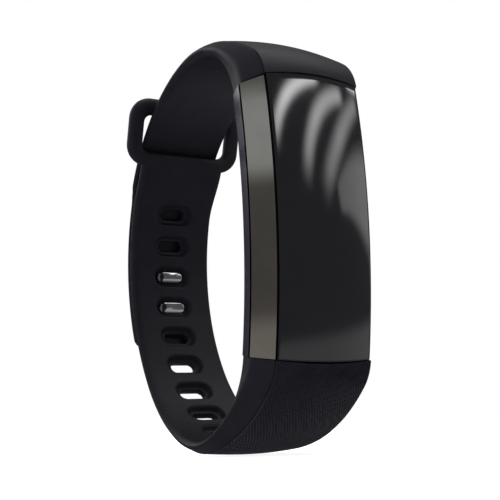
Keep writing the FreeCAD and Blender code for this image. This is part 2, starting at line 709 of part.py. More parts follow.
def upper_widths(heading, thick):
    field = eased(heading, 50, 135, 9.2, 7.4)
    widest = eased(heading, 20, 157, 11.15, 8.5)
    wrist = eased(heading, 20, 157, 9.7, 8.1)
    ridge = min(eased(heading, 9, 90, 4.55, 0.9), thick * 0.5)
    shave = eased(heading, 85, 140, 0.0, size("strap_top") - size("tail_thick"))
    return (field, widest, wrist), ridge, eased(heading, 30, 130, 1.0, 0.05), shave


def stadium(half, height, thick):
    """A slot-shaped prism along Z, long axis X, standing on z = 0."""
    round_radius = height / 2
    bar = Part.makeBox(2 * (half - round_radius), height, thick,
                       Vector(round_radius - half, -round_radius, 0))
    ends = [Part.makeCylinder(round_radius, thick, Vector(sign * (half - round_radius), 0, 0))
            for sign in (-1, 1)]
    return bar.fuse(ends).removeSplitter()


def stand_on(shape, point, heading, rise=0.0):
    """Places a prism on the lower strap's side view: its Z axis points outward at that heading."""
    outward = (-math.cos(heading), -math.sin(heading))
    tilt = math.degrees(math.atan2(-outward[0], outward[1]))
    moved = shape.copy()
    base = Vector(0, point[0] + outward[0] * rise, point[1] + outward[1] * rise)
    moved.Placement = Placement(base, Rotation(Vector(1, 0, 0), tilt))
    return moved


def slot_headings():
    """Headings of the slots' centres along the wrist face, from the ring end."""
    found = []
    heading = math.radians(size("slot_first"))
    arcs = list(reversed(lower_inner))
    arc = 0
    for _index in range(int(size("slot_count"))):
        found.append(heading)
        heading -= size("slot_pitch") / arcs[arc][1]
        while heading < arcs[arc][2]:
            extra = (arcs[arc][2] - heading) * arcs[arc][1]
            arc += 1
            heading = arcs[arc - 1][2] - extra / arcs[arc][1]
    return found


def make_ring():
    """The loop at the hole strap's end, as a flat rounded frame leaning towards the module."""
    half, height = size("ring_half"), size("ring_height")
    thick = size("ring_thick")
    outer = rounded_plate(half, 0, height, 4.0, thick)
    opening = rounded_plate(size("ring_open_half"), size("ring_bar"),
                            size("ring_bar") + size("ring_open"), 1.4, thick)
    frame = outer.cut(opening)
    flat_edges = [edge for edge in frame.Edges
                  if abs(abs(edge.BoundBox.ZMin) - thick / 2) < 1e-6
                  and edge.BoundBox.ZLength < 1e-6]
    frame = frame.makeFillet(thick / 2 - 0.12, flat_edges)
    lean = size("ring_lean")
    frame.Placement = Placement(Vector(0, size("ring_base_y"), size("ring_base_z")),
                                Rotation(Vector(1, 0, 0), 90 + lean))
    return frame


def rounded_plate(half, low, high, radius, thick):
    """A rounded rectangle from y = low to high, centred in thickness on z = 0."""
    plate = Part.makeBox(2 * half, high - low, thick, Vector(-half, low, -thick / 2))
    upright = [edge for edge in plate.Edges if edge.BoundBox.ZLength > thick / 2]
    return plate.makeFillet(radius, upright)


def make_lower_strap():
    headings = [math.degrees(HEADING_START) + 0.02, 16, 24, 33, 43, 54, 66, 80, 97, 112, 127, 140,
                152, 164, 176, 188, 197]
    lean = math.radians(size("ring_lean"))
    base = (size("ring_base_y"), size("ring_base_z"))
    outward = (math.cos(lean), math.sin(lean))
    thick = size("strap_back")
    foot = (base[0] - math.sin(lean) * 0.9 - outward[0] * thick / 2,
            base[1] + math.cos(lean) * 0.9 - outward[1] * thick / 2)
    end = section_wire(foot, outward, thick, (7.9, 9.0, 8.6), 1.1, 0.05, False)
    strap = soft_strap("hole_strap_loft", lower_outer, lower_inner, headings, lower_widths, False, [end])
    solid = strap.Shape.fuse(make_ring()).removeSplitter()
    cuts = []
    for heading in slot_headings():
        point = surface_point(lower_inner, heading)
        recess = stadium(size("recess_half"), size("recess_height"), size("recess_depth") + 1)
        cuts.append(stand_on(recess, point, heading, -1))
        through = stadium(size("slot_half"), size("slot_height"), 6)
        cuts.append(stand_on(through, point, heading, -1))
    notch = glass_notch("glass_notch_lower", -1)
    doc.recompute()
    solid = solid.cut(cuts + [nodes["strap_insert_lower"].Shape, notch.Shape])
    strap.Shape = solid
    keep("hole_strap", strap)


def make_upper_strap():
    split_degrees = 180 - math.degrees(HINGE_ANGLE)
    headings = [math.degrees(HEADING_START) + 0.02, 16, 24, 33, 43, 54, 66, 80, 95, 108, 121, 133, 144,
                split_degrees - 0.25]
    strap = soft_strap("stud_strap_loft", upper_outer, upper_inner, headings, upper_widths, True)
    notch = glass_notch("glass_notch_upper", 1)
    doc.recompute()
    strap.Shape = strap.Shape.cut([nodes["strap_insert_upper"].Shape, notch.Shape])
    keep("stud_strap", strap)


def tail_section(angle, thick, halves):
    """A cross-section of the tail at an angle above the wrap centre."""
    outward = (math.cos(angle), math.sin(angle))
    inner = tuple(c + o * (TAIL_RADIUS - thick) for c, o in zip(WRAP_CENTRE, outward))
    return section_wire(inner, outward, thick, halves, thick * 0.45, 0.05, False)


def make_tail():
    tip = math.radians(-20.6)
    thick = size("tail_thick")
    wires = []
    steps = 9
    for index in range(steps + 1):
        part = index / steps
        angle = HINGE_ANGLE + (tip - HINGE_ANGLE) * part * 0.93
        wires.append(tail_section(angle, thick, (6.9, 8.05, 7.75)))
    for shrink, part in ((0.35, 0.965), (1.1, 0.988), (2.6, 1.0)):
        angle = HINGE_ANGLE + (tip - HINGE_ANGLE) * part
        wires.append(tail_section(angle, thick, (6.9 - shrink, 8.05 - shrink, 7.75 - shrink)))
    loft = Part.makeLoft(wires, True, False)
    plate, studs = clasp_shapes()
    tail = doc.addObject("Part::Feature", "strap_tail_loft")
    tail.Shape = loft.cut([plate] + studs)
    keep("strap_tail", tail)
    backing = doc.addObject("Part::Feature", "rivet_plate_shape")
    backing.Shape = plate
    keep("rivet_plate", backing)
    pair = doc.addObject("Part::Feature", "clasp_studs_shape")
    pair.Shape = Part.makeCompound(studs)
    keep("clasp_studs", pair)


def bent_plate(centre, inner, outer, first, last, half):
    """A plate curved about an axis parallel to X, between two angles above +Y."""

    def at(radius, angle):
        return Vector(-half, centre[0] + radius * math.cos(angle), centre[1] + radius * math.sin(angle))

    middle = (first + last) / 2
    edges = [Part.Arc(at(outer, first), at(outer, middle), at(outer, last)).toShape(),
             Part.makeLine(at(outer, last), at(inner, last)),
             Part.Arc(at(inner, last), at(inner, middle), at(inner, first)).toShape(),
             Part.makeLine(at(inner, first), at(outer, first))]
    return Part.Face(Part.Wire(edges)).extrude(Vector(2 * half, 0, 0))


def clasp_shapes():
    """The steel plate moulded into the tail, and the two studs riveted to it."""
    third, fourth = slot_headings()[2:4]
    plate_outer = TAIL_RADIUS - 0.5
    plate_inner = plate_outer - size("rivet_plate_thick")
    margin = 2.1 / plate_outer
    plate = bent_plate(WRAP_CENTRE, plate_inner, plate_outer, fourth - math.pi - margin,
                       third - math.pi + margin, size("rivet_plate_half"))
    length = plate_inner - (TAIL_RADIUS - size("tail_thick")) + size("tail_gap") + size("stud_reach")
    studs = []
    for heading in (third, fourth):
        stud = stadium(size("stud_half"), size("stud_height"), length)
        tip_edges = [edge for edge in stud.Edges if edge.BoundBox.ZMin > length - 1e-6]
        stud = stud.makeChamfer(0.3, tip_edges)
        foot = polar(WRAP_CENTRE, plate_inner, heading)
        studs.append(stand_on(stud, foot, heading + math.pi).cut(plate))
    return plate, studs


# ---------------------------------------------------------------- assembly

make_glass()
make_seal()
make_trims()
make_housing()
make_display_stack()
make_boards()
make_heart_sensor()
make_motor()
make_back_cover()
make_strap_inserts()
doc.recompute()
make_lower_strap()
make_upper_strap()
make_tail()
doc.recompute()

faults = []
for obj in doc.Objects:
    if "Invalid" in obj.State or "Error" in obj.State:
        faults.append(f"{obj.Label}: {obj.State}")
for node, obj in nodes.items():
    if obj.Shape.isNull() or not obj.Shape.isValid() or obj.Shape.Volume <= 0:
        faults.append(f"{node}: shape not valid")
if faults:
    raise RuntimeError("; ".join(faults))

os.makedirs("parts", exist_ok=True)
print("tail hinge at y, z:", polar(WRAP_CENTRE, TAIL_RADIUS, HINGE_ANGLE + math.pi))
for node, obj in nodes.items():
    obj.Shape.exportStep(f"parts/{node}.step")
    box = obj.Shape.optimalBoundingBox(False)
    print(f"{node:20s} solids {len(obj.Shape.Solids)} volume {obj.Shape.Volume:9.2f}  "
          f"x {box.XMin:7.2f} {box.XMax:7.2f}  y {box.YMin:7.2f} {box.YMax:7.2f}  "
          f"z {box.ZMin:7.2f} {box.ZMax:7.2f}")
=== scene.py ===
"""Looks of the fitness tracker band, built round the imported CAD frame.

Lengths in this script are millimetres until a mesh is made, and the frame is the CAD's: X along the
wrist, Y from the display to the clasp, Z up, origin at the centre of the wrist opening.
"""
import json
import math

import bmesh
import bpy
from mathutils import Matrix, Vector


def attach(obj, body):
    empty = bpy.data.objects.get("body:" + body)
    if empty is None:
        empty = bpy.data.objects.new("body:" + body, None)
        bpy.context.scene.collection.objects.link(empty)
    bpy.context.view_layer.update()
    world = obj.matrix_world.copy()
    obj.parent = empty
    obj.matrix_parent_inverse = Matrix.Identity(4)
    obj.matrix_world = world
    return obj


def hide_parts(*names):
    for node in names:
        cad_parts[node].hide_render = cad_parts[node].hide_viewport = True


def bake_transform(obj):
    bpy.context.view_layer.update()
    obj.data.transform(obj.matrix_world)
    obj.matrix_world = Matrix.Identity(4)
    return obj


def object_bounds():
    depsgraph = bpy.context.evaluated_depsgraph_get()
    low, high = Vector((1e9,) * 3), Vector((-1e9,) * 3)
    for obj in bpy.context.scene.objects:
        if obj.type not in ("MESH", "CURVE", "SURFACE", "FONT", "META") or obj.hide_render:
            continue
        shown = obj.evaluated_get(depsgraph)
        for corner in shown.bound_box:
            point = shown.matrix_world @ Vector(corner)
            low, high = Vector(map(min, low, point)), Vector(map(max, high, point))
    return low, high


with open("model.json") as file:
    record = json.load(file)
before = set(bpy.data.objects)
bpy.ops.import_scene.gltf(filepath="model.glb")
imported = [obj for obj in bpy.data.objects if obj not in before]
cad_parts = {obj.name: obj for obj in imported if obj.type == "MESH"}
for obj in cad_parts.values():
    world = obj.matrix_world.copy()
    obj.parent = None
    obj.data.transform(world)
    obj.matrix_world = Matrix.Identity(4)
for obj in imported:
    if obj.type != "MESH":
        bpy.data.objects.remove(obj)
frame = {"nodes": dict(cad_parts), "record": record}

CAD_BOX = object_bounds()
MM = 0.001

# module
FRONT_Y = -29.0             # glass edges at mid height
BOW_RADIUS = 145.0
BOW_Y = FRONT_Y + BOW_RADIUS
MODULE_HALF = 23.0
MODULE_DEPTH = 9.2
GLASS_HALF = 8.95
GLASS_EDGE = 0.95
GLASS_CROWN = 1.0
GLASS_END = 22.85
GLASS_BOW = 0.45

# straps: outer arcs as radius and turn in degrees, as the CAD has them
LOWER_ARCS = [(7.8, 34.4), (32.6, 42.2), (21.2, 30.5), (29.5, 32.1), (41.0, 64.4)]
UPPER_ARCS = [(7.2, 49.0), (39.8, 26.1), (24.1, 18.7)]
STRAP_BACK = 2.25
STRAP_TOP = 2.60
TAIL_THICK = 1.70
TAIL_GAP = 0.30
HEADING_START = math.asin(MODULE_HALF / BOW_RADIUS)
RING_LEAN = math.radians(14.0)
RING_BASE = (17.8, 17.6)
RING_HALF, RING_HEIGHT, RING_THICK = 12.1, 13.0, 2.4
RING_OPEN_HALF, RING_BAR, RING_OPEN = 9.2, 2.75, 7.0

# surface detail of the straps
RIB_PITCH = 0.53
RIB_LEAN = 0.65             # sideways run of a rib per length of strap, at the display
RIB_CURL = 0.005            # how fast that lean lessens along the strap, per mm
RIB_STRAIGHT = 60.0         # ribs run straight beyond this length
RIB_SHARPNESS = 0.8         # below 1 the valleys between ribs are sharp
RIB_FADE = 0.25             # width over which the ribs die out at the field's edge
LOWER_RIB_DEPTH = 0.240
UPPER_RIB_DEPTH = 0.050
GROOVE_WIDTH = 0.26         # the groove that frames the ribbed field
GROOVE_DEPTH = 0.16
FIELD_COLUMNS = 168
WRIST_COLUMNS = 14
LOFT_STEP = 0.32            # spacing of the lofted sections along the strap
SAMPLE_DEGREES = 0.25       # spacing of the samples they are taken from
STRAP_SMOOTH = 38           # edges of the straps sharper than this, in degrees, stay crisp

# slots, as the CAD has them
SLOT_FIRST = math.radians(197.1)
SLOT_PITCH = 6.1
SLOT_COUNT = 9
STUD_SLOTS = slice(2, 4)    # the studs stand in the third and fourth slots

# lower strap's end and the tail
WRAP_END = 197              # heading in degrees where the lower strap turns up into the ring
TAIL_TIP = math.radians(-20.6)
TAIL_SAMPLES = 160
TAIL_ROUND_FROM = 0.93      # share of the tail after which its tip is rounded
TAIL_ROUND = 2.6            # how much narrower the tip is on each side
HINGE_BLEND = 22            # samples over which the strap's section passes into the tail's
HINGE_FIRST = 4             # the tail's first samples lie under that blend

# studs
STUD_END_FACETS = 4
STUD_TILTS = (0.105, 0.25)  # slope of each head's face
STUD_SINK = 0.10
STUD_HEAD = 0.95            # the head lies on the wrist side of this rise

# camera
CAMERA_PLACE = Vector((-102.904, -168.045, -32.010))
CAMERA_YAW, CAMERA_PITCH, CAMERA_ROLL = 0.566588, 0.154423, -0.037682
CAMERA_LENS = 79.2
CAMERA_SENSOR = 36.0

# stage, in metres and radiance
FLOOR_GLOW = 0.90
FLOOR_HALF = 3.0
LAMP_DISTANCE = 2.5
SURROUND_GLOW = 0.16


# ---------------------------------------------------------------- side view of the straps

def polar(centre, radius, heading):
    """Point of a circle where a strap runs in this heading, as (y, z)."""
    return (centre[0] - radius * math.cos(heading), centre[1] - radius * math.sin(heading))


def arc_path(start, heading, arcs):
    """Tangent arcs as (centre, radius, first heading, last heading)."""
    path = []
    for radius, turn in arcs:
        centre = (start[0] + radius * math.cos(heading), start[1] + radius * math.sin(heading))
        last = heading + math.radians(turn)
        path.append((centre, radius, heading, last))
        start = polar(centre, radius, last)
        heading = last
    return path


def joining_arc(start, heading, centre, radius):
    """The arc that leaves start in this heading and runs smoothly into a given circle."""
    dy, dz = start[0] - centre[0], start[1] - centre[1]
    along = dy * math.cos(heading) + dz * math.sin(heading)
    own = (radius ** 2 - dy ** 2 - dz ** 2) / (2 * (along + radius))
    own_centre = (start[0] + own * math.cos(heading), start[1] + own * math.sin(heading))
    last = math.atan2(centre[1] - own_centre[1], centre[0] - own_centre[0])
    return own_centre, own, heading, last


def inner_path(start, outer, first_kept, thickness):
    """The wrist face: a lead-in arc, then the outer arcs moved in by the thickness."""
    lead = joining_arc(start, HEADING_START, outer[first_kept][0], outer[first_kept][1] - thickness)
    path = [lead]
    for centre, radius, _first, last in outer[first_kept:]:
        path.append((centre, radius - thickness, path[-1][3], last))
    return path


def surface_point(path, heading):
    """Point of a path at a heading."""
    for centre, radius, _first, last in path:
        if heading <= last:
            return polar(centre, radius, heading)
    return polar(path[-1][0], path[-1][1], heading)


def reach(path, point, heading):
    """Distance from a point of the wrist face, square to it, to the outer surface."""
    direction = (-math.cos(heading), -math.sin(heading))
    for centre, radius, first, last in path:
        dy, dz = point[0] - centre[0], point[1] - centre[1]
        along = dy * direction[0] + dz * direction[1]
        root = along ** 2 - dy ** 2 - dz ** 2 + radius ** 2
        if root < 0:
            continue
        distance = -along + math.sqrt(root)
        hit = (dy + distance * direction[0], dz + distance * direction[1])
        at = math.atan2(-hit[1], -hit[0]) % (2 * math.pi)
        if first - 1e-4 <= at and (at <= last + 1e-4 or radius == path[-1][1]):
            return distance
    raise ValueError(f"no outer surface at heading {math.degrees(heading):.1f}")


def eased(heading, first, last, start, end):
    """A value that eases from start to end between two headings in degrees."""
    part = min(max((math.degrees(heading) - first) / (last - first), 0.0), 1.0)
    return start + (end - start) * (1 - math.cos(math.pi * part)) / 2


def mixed(a, b, part):
    """Straight mix of two values."""
    return a + (b - a) * part


def smooth(part):
    """Soft step from 0 to 1."""
    part = min(max(part, 0.0), 1.0)
    return part * part * (3 - 2 * part)


START_OUTER = (FRONT_Y + BOW_RADIUS * (1 - math.cos(HEADING_START)), -MODULE_HALF)
START_INNER = (START_OUTER[0] + MODULE_DEPTH * math.cos(HEADING_START),
               START_OUTER[1] + MODULE_DEPTH * math.sin(HEADING_START))
LOWER_OUTER = arc_path(START_OUTER, HEADING_START, LOWER_ARCS)
LOWER_INNER = inner_path(START_INNER, LOWER_OUTER, 2, STRAP_BACK)
WRAP_CENTRE, WRAP_RADIUS = LOWER_OUTER[-1][:2]
TAIL_RADIUS = WRAP_RADIUS + TAIL_GAP + TAIL_THICK
UPPER_OUTER = arc_path(START_OUTER, HEADING_START, UPPER_ARCS)
UPPER_OUTER.append(joining_arc(polar(*UPPER_OUTER[-1][:2], UPPER_OUTER[-1][3]), UPPER_OUTER[-1][3],
                               (WRAP_CENTRE[0], -WRAP_CENTRE[1]), TAIL_RADIUS))
UPPER_INNER = inner_path(START_INNER, UPPER_OUTER, 1, STRAP_TOP)
HINGE_ANGLE = math.pi - UPPER_OUTER[-1][3]


class Section:
    """One cross-section of a strap: a place in the side view, the way out, and its half widths."""

    def __init__(self, inner, outward, thick, halves, ridge, crown):
        self.inner = inner
        self.outward = outward
        self.thick = thick
        self.field, self.widest, self.wrist = halves
        self.ridge = ridge
        self.crown = crown

    def between(self, other, part):
        outward = (mixed(self.outward[0], other.outward[0], part),
                   mixed(self.outward[1], other.outward[1], part))
        length = math.hypot(*outward)
        inner = (mixed(self.inner[0], other.inner[0], part), mixed(self.inner[1], other.inner[1], part))
        halves = [mixed(a, b, part) for a, b in ((self.field, other.field), (self.widest, other.widest),
                                                 (self.wrist, other.wrist))]
        return Section(inner, (outward[0] / length, outward[1] / length),
                       mixed(self.thick, other.thick, part), halves,
                       mixed(self.ridge, other.ridge, part), mixed(self.crown, other.crown, part))

    def outer_point(self):
        return (self.inner[0] + self.outward[0] * self.thick, self.inner[1] + self.outward[1] * self.thick)


def lower_section(heading):
    """Section of the lower strap."""
    point = surface_point(LOWER_INNER, heading)
    thick = reach(LOWER_OUTER, point, heading)
    halves = (eased(heading, 50, 135, 9.2, 7.3), eased(heading, 60, 165, 11.15, 8.7),
              eased(heading, 60, 165, 9.7, 8.2))
    return Section(point, (-math.cos(heading), -math.sin(heading)), thick, halves,
                   eased(heading, 9, 100, 4.55, 1.1), eased(heading, 30, 130, 1.0, 0.02))


def upper_section(heading):
    """Section of the upper strap, which thins towards the tail."""
    point = surface_point(UPPER_INNER, heading)
    thick = reach(UPPER_OUTER, point, heading)
    halves = (eased(heading, 50, 135, 9.2, 7.4), eased(heading, 20, 157, 11.15, 8.5),
              eased(heading, 20, 157, 9.7, 8.1))
    ridge = min(eased(heading, 9, 90, 4.55, 0.9), thick * 0.5)
    shave = eased(heading, 85, 140, 0.0, STRAP_TOP - TAIL_THICK)
    outward = (-math.cos(heading), math.sin(heading))
    inner = (point[0] + outward[0] * shave, -point[1] + outward[1] * shave)
    return Section(inner, outward, thick - shave, halves, ridge, eased(heading, 30, 130, 1.0, 0.05))


def tail_section(angle, shrink):
    """Section of the tail at an angle about the wrap's centre, narrower by shrink on each side."""
    outward = (math.cos(angle), math.sin(angle))
    inner = tuple(c + o * (TAIL_RADIUS - TAIL_THICK) for c, o in zip(WRAP_CENTRE, outward))
    return Section(inner, outward, TAIL_THICK, (6.9 - shrink, 8.05 - shrink, 7.75 - shrink),
                   TAIL_THICK * 0.45, 0.05)


def evenly(sections):
    """Sections spaced evenly along the outer surface, from densely sampled ones."""
    spaced = [sections[0]]
    left = LOFT_STEP
    for a, b in zip(sections, sections[1:]):
        pa, pb = a.outer_point(), b.outer_point()
        run = math.hypot(pb[0] - pa[0], pb[1] - pa[1])
        done = 0.0
        while run - done >= left:
            done += left
            spaced.append(a.between(b, done / run))
            left = LOFT_STEP
        left -= run - done
    if left < LOFT_STEP * 0.6:
        spaced.append(sections[-1])
    else:
        spaced[-1] = sections[-1]
    return spaced


# ---------------------------------------------------------------- meshes

def new_piece(name, verts, faces, smooth_angle=40.0):
    """A mesh object from millimetre coordinates, smooth apart from edges sharper than the angle."""
    mesh = bpy.data.meshes.new(name)
    mesh.from_pydata([(x * MM, y * MM, z * MM) for x, y, z in verts], [], faces)
    mesh.update()
    obj = bpy.data.objects.new(name, mesh)
    bpy.context.scene.collection.objects.link(obj)
    shade(obj, smooth_angle)
    return obj


def shade(obj, smooth_angle):
    """Smooth shading apart from edges sharper than the angle in degrees."""
    mesh = obj.data
    for polygon in mesh.polygons:
        polygon.use_smooth = True
    mesh.set_sharp_from_angle(angle=math.radians(smooth_angle))


def face_outward(obj):
    """Turns all faces the same way out."""
    work = bmesh.new()
    work.from_mesh(obj.data)
    bmesh.ops.recalc_face_normals(work, faces=work.faces)
    work.to_mesh(obj.data)
    work.free()


def grid_faces(rows, columns, closed_rows=False, closed_columns=True):
    """Quads between consecutive rings of points."""
    faces = []
    for row in range(rows if closed_rows else rows - 1):
        below = row * columns
        above = ((row + 1) % rows) * columns
        for column in range(columns if closed_columns else columns - 1):
            following = (column + 1) % columns
            faces.append((below + column, below + following, above + following, above + column))
    return faces


def boolean(obj, tool, operation):
    """Applies an exact boolean and removes the tool."""
    modifier = obj.modifiers.new("cut", "BOOLEAN")
    modifier.operation = operation
    modifier.object = tool
    modifier.solver = "EXACT"
    deps = bpy.context.evaluated_depsgraph_get()
    mesh = bpy.data.meshes.new_from_object(obj.evaluated_get(deps))
    obj.modifiers.remove(modifier)
    old = obj.data
    obj.data = mesh
    bpy.data.meshes.remove(old)
    bpy.data.objects.remove(tool)


def bend(corner, before, after, size, count):
    """Points of a rounded corner: a parabola from one side to the other."""
    points = []
    start = [c + (b - c) * min(size / math.dist(corner, before), 0.5) for c, b in zip(corner, before)]
    end = [c + (a - c) * min(size / math.dist(corner, after), 0.5) for c, a in zip(corner, after)]
    for index in range(count + 1):
        t = index / count
        points.append(tuple((1 - t) ** 2 * s + 2 * t * (1 - t) * c + t * t * e
                            for s, c, e in zip(start, corner, end)))
    return points


def side_outline(section):
    """Right half of a section from the field's edge round to the wrist face, as (x, rise)."""
    t = section.thick
    edge = (section.field, t)
    ridge = (section.widest, t - section.ridge)
    foot = (section.wrist, 0.0)
    run = math.dist(edge, ridge)
    down = ((ridge[0] - edge[0]) / run, (ridge[1] - edge[1]) / run)
    groove = min(GROOVE_WIDTH, run * 0.3)
    points = [(edge[0] - groove * 0.15, t - 0.02), (edge[0], t - GROOVE_DEPTH)]
    lip = (edge[0] + down[0] * groove, edge[1] + down[1] * groove)
    points.append((lip[0] - 0.10, lip[1] - GROOVE_DEPTH))
    points.append((lip[0], lip[1] - 0.03))
    round_ridge = min(0.9, run * 0.35)
    points.append((lip[0] + down[0] * 0.06, lip[1] + down[1] * 0.06))
    ridge_points = bend(ridge, lip, foot, round_ridge, 8)
    first = ridge_points[0]
    for index in range(1, 6):
        points.append((mixed(points[4][0], first[0], index / 6), mixed(points[4][1], first[1], index / 6)))
    points.extend(ridge_points)
    foot_points = bend(foot, ridge, (0.0, 0.0), 0.7, 6)
    last = ridge_points[-1]
    for index in range(1, 5):
        points.append((mixed(last[0], foot_points[0][0], index / 5),
                       mixed(last[1], foot_points[0][1], index / 5)))
    points.extend(foot_points)
    return points


def rib_shift(along):
    """Sideways shift of the ribs at a distance along the strap."""
    run = min(along, RIB_STRAIGHT)
    return RIB_LEAN * run - RIB_CURL * run ** 2


def outline(section, along, rib_depth):
    """The closed section as (x, rise) points, with the field's ribs at this distance along."""
    t, field = section.thick, section.field
    side = side_outline(section)
    field_edge = side[0][0]
    points = []
    for index in range(FIELD_COLUMNS + 1):
        x = field_edge * (2 * index / FIELD_COLUMNS - 1)
        rise = t + section.crown * (1 - (x / field) ** 2)
        turn = (x - rib_shift(along)) / RIB_PITCH
        rib = abs(math.sin(math.pi * turn)) ** RIB_SHARPNESS - 1.0
        edge_fade = smooth((field_edge - abs(x)) / RIB_FADE)
        points.append((x, rise + rib * rib_depth * edge_fade))
    points.extend(side[1:])
    last_x = side[-1][0]
    for index in range(1, WRIST_COLUMNS):
        points.append((last_x * (1 - 2 * index / WRIST_COLUMNS), 0.0))
    points.extend((-x, rise) for x, rise in reversed(side[1:]))
    return points


def loft(name, sections, rib_depth, end_bow):
    """A strap body through sections, its first end bowed as the glass is; flat fans close both ends."""
    verts = []
    for row, section in enumerate(sections):
        along = row * LOFT_STEP
        ring = outline(section, along, rib_depth)
        columns = len(ring)
        near = smooth(1 - along / 4.0)
        for x, rise in ring:
            y = section.inner[0] + section.outward[0] * rise
            z = section.inner[1] + section.outward[1] * rise
            on_glass = smooth((rise - section.thick + 3.4) / 2.0)
            bow = max(0.0, 1 - (x / (GLASS_HALF + 0.05)) ** 2)
            verts.append((x, y, z + end_bow * near * on_glass * bow))
    rows = len(sections)
    faces = grid_faces(rows, columns)
    for row in (0, rows - 1):
        ring = [row * columns + column for column in range(columns)]
        centre = len(verts)
        verts.append(tuple(sum(verts[i][axis] for i in ring) / columns for axis in range(3)))
        faces.extend((ring[i], ring[(i + 1) % columns], centre) for i in range(columns))
    return new_piece(name, verts, faces)


# ---------------------------------------------------------------- hole strap with its ring

def slot_headings():
    """Headings of the slots' centres along the wrist face, from the ring end."""
    found = []
    heading = SLOT_FIRST
    arcs = list(reversed(LOWER_INNER))
    arc = 0
    for _index in range(SLOT_COUNT):
        found.append(heading)
        heading -= SLOT_PITCH / arcs[arc][1]
        while heading < arcs[arc][2]:
            extra = (arcs[arc][2] - heading) * arcs[arc][1]
            arc += 1
            heading = arcs[arc - 1][2] - extra / arcs[arc][1]
    return found


def stadium_ring(half, height, count):
    """Points round a slot outline, long axis X."""
    radius = height / 2
    points = []
    for sign, first in ((1, -math.pi / 2), (-1, math.pi / 2)):
        for index in range(count + 1):
            angle = first + math.pi * index / count
            points.append((sign * (half - radius) + radius * math.cos(angle), radius * math.sin(angle)))
    return points


def stacked(levels, place, count=10):
    """Verts and faces of a closed prism through (half, height, rise) levels, put in place."""
    verts = []
    rings = [stadium_ring(half, height, count) for half, height, _rise in levels]
    columns = len(rings[0])
    for ring, (_half, _height, rise) in zip(rings, levels):
        verts.extend(place(x, along, rise) for x, along in ring)
    faces = grid_faces(len(levels), columns)
    faces.append(tuple(range(columns)))
    faces.append(tuple(reversed(range((len(levels) - 1) * columns, len(levels) * columns))))
    return verts, faces


def slot_place(heading):
    """Maps a slot's own (x, along, rise) to the frame, rise outward from the wrist face."""
    base = surface_point(LOWER_INNER, heading)
    outward = (-math.cos(heading), -math.sin(heading))
    along = (outward[1], -outward[0])

    def place(x, run, rise):
        return (x, base[0] + along[0] * run + outward[0] * rise,
                base[1] + along[1] * run + outward[1] * rise)

    return place


def slot_cutters():
    """One mesh that holds every stepped slot, with softened mouths."""
    verts, faces = [], []
    levels = [(4.30, 5.0, -1.0), (4.02, 4.44, -0.03), (3.86, 4.12, 0.05), (3.74, 3.88, 0.16),
              (3.62, 3.64, 0.36), (3.50, 3.40, 0.70), (3.32, 3.04, 0.90), (2.90, 2.60, 1.00),
              (2.66, 2.30, 1.04), (2.58, 2.16, 1.14), (2.54, 2.08, 2.1), (2.60, 2.20, 2.2),
              (2.72, 2.44, 2.32), (2.72, 2.44, 4.0)]
    for heading in slot_headings():
        more, more_faces = stacked(levels, slot_place(heading))
        shift = len(verts)
        verts.extend(more)
        faces.extend(tuple(i + shift for i in face) for face in more_faces)
    cutter = new_piece("slot_cutters", verts, faces)
    face_outward(cutter)
    return cutter


def rounded_contour(half, low, high, radius, straight, corner):
    """A rounded rectangle, counterclockwise from the middle of the right side."""
    centre_up, reach_x = (low + high) / 2, half - radius
    spans = [((half, centre_up), (half, high - radius)),
             ((reach_x, high), (-reach_x, high)),
             ((-half, high - radius), (-half, low + radius)),
             ((-reach_x, low), (reach_x, low)),
             ((half, low + radius), (half, centre_up))]
    corners = [(reach_x, high - radius, 0), (-reach_x, high - radius, 90),
               (-reach_x, low + radius, 180), (reach_x, low + radius, 270)]
    points = []
    for index, (a, b) in enumerate(spans):
        steps = straight if index in (1, 3) else straight // 2
        for k in range(steps):
            points.append((mixed(a[0], b[0], k / steps), mixed(a[1], b[1], k / steps)))
        if index < 4:
            cx, cy, first = corners[index]
            for k in range(corner):
                angle = math.radians(first + 90 * k / corner)
                points.append((cx + radius * math.cos(angle), cy + radius * math.sin(angle)))
    return points


def ring_place(x, up, out):
    """The ring's own plane: x across, up along the leaning frame, out square to it."""
    return (x, RING_BASE[0] - up * math.sin(RING_LEAN) + out * math.cos(RING_LEAN),
            RING_BASE[1] + up * math.cos(RING_LEAN) + out * math.sin(RING_LEAN))


def ring_mesh():
    """The loop: a softly rounded bar between an outer and an inner contour."""
    outer = rounded_contour(RING_HALF, 0.0, RING_HEIGHT, 4.0, 24, 12)
    inner = rounded_contour(RING_OPEN_HALF, RING_BAR, RING_BAR + RING_OPEN, 1.5, 24, 12)
    around = 28
    verts = []
    for (ox, oy), (ix, iy) in zip(outer, inner):
        middle = ((ox + ix) / 2, (oy + iy) / 2)
        half = ((ox - ix) / 2, (oy - iy) / 2)
        for k in range(around):
            angle = 2 * math.pi * k / around
            c, s = math.cos(angle), math.sin(angle)
            wide = math.copysign(abs(c) ** 0.75, c)
            deep = math.copysign(abs(s) ** 0.75, s) * RING_THICK / 2
            verts.append(ring_place(middle[0] + half[0] * wide, middle[1] + half[1] * wide, deep))
    ring = new_piece("ring", verts, grid_faces(len(outer), around, closed_rows=True))
    face_outward(ring)
    return ring


def ring_foot():
    """The strap's last section, inside the ring's lower bar."""
    outward = (math.cos(RING_LEAN), math.sin(RING_LEAN))
    up = 0.9
    base = (RING_BASE[0] - math.sin(RING_LEAN) * up - outward[0] * STRAP_BACK / 2,
            RING_BASE[1] + math.cos(RING_LEAN) * up - outward[1] * STRAP_BACK / 2)
    return Section(base, outward, STRAP_BACK, (7.9, 9.0, 8.6), 1.1, 0.05)


